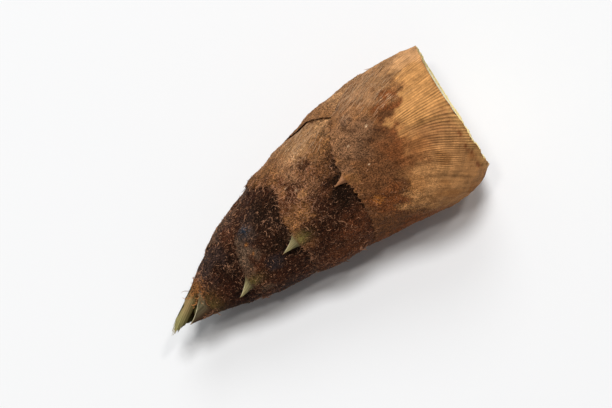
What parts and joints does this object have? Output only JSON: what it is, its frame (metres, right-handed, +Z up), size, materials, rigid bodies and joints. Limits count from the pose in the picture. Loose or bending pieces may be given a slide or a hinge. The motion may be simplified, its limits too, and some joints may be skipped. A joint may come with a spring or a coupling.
{
  "type": "bamboo shoot",
  "caption": "Cut bamboo shoot lying on its belly: a solid heart wrapped in overlapping hairy husk leaves with small green blades at their tops.",
  "frame": {"origin": "middle of the shoot's footprint, on the surface it lies on", "axes": "+X along the shoot from the tip towards the cut, +Z up"},
  "size_m": [0.2104, 0.0922, 0.089],
  "materials": {
    "heart_flesh": "moist cut plant flesh",
    "husk_1": "dry ribbed husk, tan to brown",
    "husk_2": "dry ribbed husk, olive brown",
    "husk_3": "hairy ribbed husk, brown",
    "husk_4": "hairy ribbed husk, dark brown",
    "husk_5": "hairy ribbed husk, dark brown",
    "husk_6": "hairy ribbed husk, dark brown",
    "husk_7": "hairy husk, grey-green at the blade",
    "husk_8": "green blade, brown hairs",
    "husk_9": "green blade, brown hairs"
  },
  "bodies": {
    "root": {"shoot_heart": "heart_flesh", "husk_leaf_1": "husk_1", "husk_leaf_2": "husk_2", "husk_leaf_3": "husk_3", "husk_leaf_4": "husk_4", "husk_leaf_5": "husk_5", "husk_leaf_6": "husk_6", "husk_leaf_7": "husk_7", "husk_leaf_8": "husk_8", "husk_leaf_9": "husk_9"}
  },
  "joints": []
}
